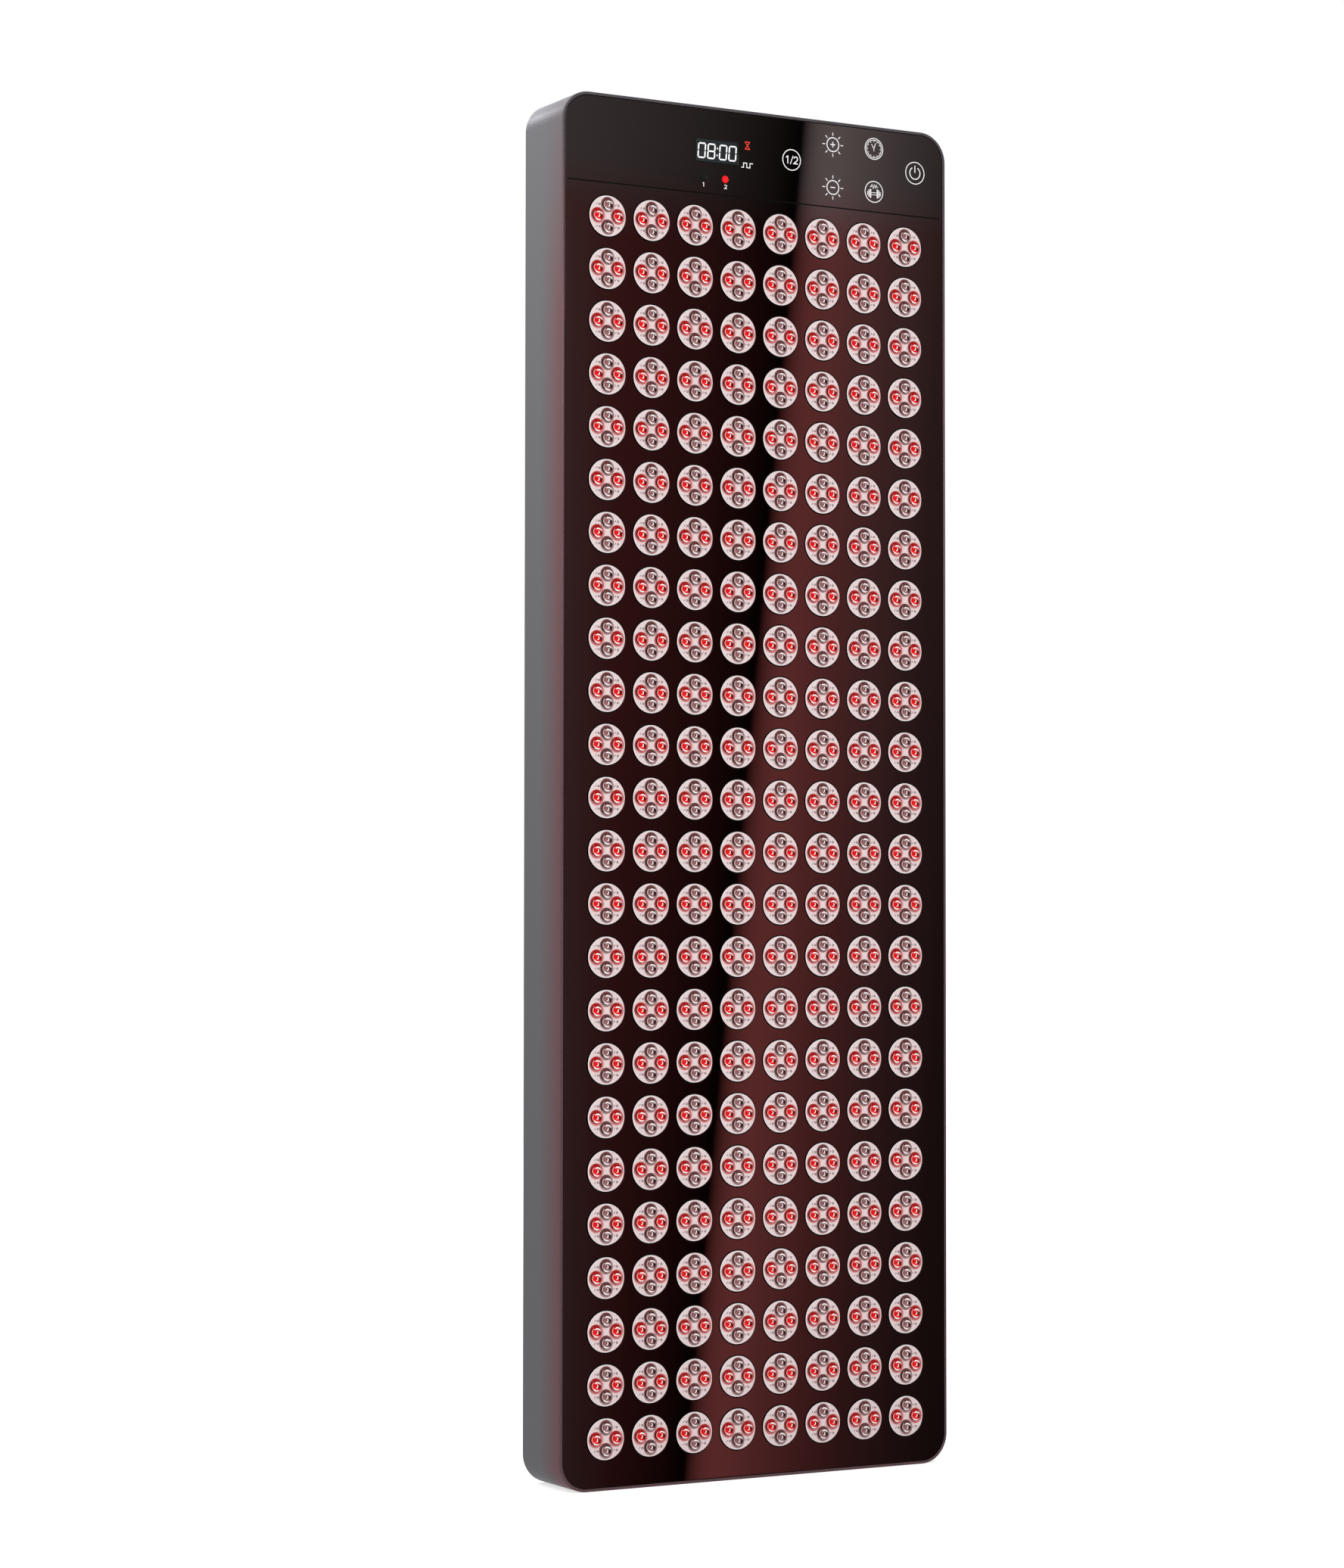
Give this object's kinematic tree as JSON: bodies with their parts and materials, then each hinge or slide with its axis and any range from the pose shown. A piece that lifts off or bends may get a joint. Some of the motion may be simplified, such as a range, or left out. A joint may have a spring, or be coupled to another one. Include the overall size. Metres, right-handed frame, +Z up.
{
  "type": "light therapy panel",
  "caption": "Upright light therapy panel: rounded aluminium housing, glossy front with a grid of round lens heads, touch header with display, and a fan-cooled back with a mains inlet.",
  "frame": {"origin": "under the middle of the whole panel's box, at the height of its bottom face", "axes": "+X to the right seen from the front, front faces -Y, +Z up"},
  "size_m": [0.3, 0.0684, 0.916],
  "materials": {
    "satin_aluminium": "bead blasted, satin",
    "gloss_front": "gloss",
    "lens_heads": "clear, lit red",
    "smoked_window": "smoked gloss",
    "lamp_red": "gloss",
    "black_plastic": "fine texture",
    "rocker_red": "gloss",
    "circuit_board": "solder mask",
    "supply_case": "plain",
    "black_paint": "powder coat",
    "zinc_steel": "zinc plated",
    "brass_pins": "plain"
  },
  "bodies": {
    "housing": {"side_frame": "satin_aluminium", "heat_sink": "satin_aluminium", "front_panel": "gloss_front", "led_row_01": "lens_heads", "led_row_02": "lens_heads", "led_row_03": "lens_heads", "led_row_04": "lens_heads", "led_row_05": "lens_heads", "led_row_06": "lens_heads", "led_row_07": "lens_heads", "led_row_08": "lens_heads", "led_row_09": "lens_heads", "led_row_10": "lens_heads", "led_row_11": "lens_heads", "led_row_12": "lens_heads", "led_row_13": "lens_heads", "led_row_14": "lens_heads", "led_row_15": "lens_heads", "led_row_16": "lens_heads", "led_row_17": "lens_heads", "led_row_18": "lens_heads", "led_row_19": "lens_heads", "led_row_20": "lens_heads", "led_row_21": "lens_heads", "led_row_22": "lens_heads", "led_row_23": "lens_heads", "led_row_24": "lens_heads", "display_window": "smoked_window", "display_module": "black_plastic", "touch_board": "circuit_board", "indicator_lamp_1": "lamp_red", "indicator_lamp_2": "lamp_red", "fan_frame_1": "black_plastic", "fan_frame_2": "black_plastic", "fan_frame_3": "black_plastic", "power_supply_1": "supply_case", "power_supply_2": "supply_case", "back_cover": "black_paint", "inlet_housing": "black_plastic", "inlet_pin_line": "brass_pins", "inlet_pin_neutral": "brass_pins", "inlet_pin_earth": "brass_pins", "hanger_left": "zinc_steel", "hanger_right": "zinc_steel"},
    "impeller_1": {"fan_rotor_1": "black_plastic"},
    "impeller_2": {"fan_rotor_2": "black_plastic"},
    "impeller_3": {"fan_rotor_3": "black_plastic"},
    "drawer": {"fuse_drawer": "black_plastic"},
    "rocker": {"mains_rocker": "rocker_red"}
  },
  "joints": [
    {"name": "fan_spin_1", "type": "hinge", "parent": "housing", "child": "impeller_1", "pos_m": [0, 0.0049, 0.19], "axis": [0, 1, 0], "continuous": true},
    {"name": "fan_spin_2", "type": "hinge", "parent": "housing", "child": "impeller_2", "pos_m": [0, 0.0049, 0.458], "axis": [0, 1, 0], "continuous": true},
    {"name": "fan_spin_3", "type": "hinge", "parent": "housing", "child": "impeller_3", "pos_m": [0, 0.0049, 0.726], "axis": [0, 1, 0], "continuous": true},
    {"name": "rocker_tilt", "type": "hinge", "parent": "housing", "child": "rocker", "pos_m": [-0.0806, 0.0165, 0.088], "axis": [-1, 0, 0], "range_deg": [0, 18]},
    {"name": "fuse_drawer_slide", "type": "slide", "parent": "housing", "child": "drawer", "axis": [0, 1, 0], "range_m": [0, 0.014]}
  ]
}
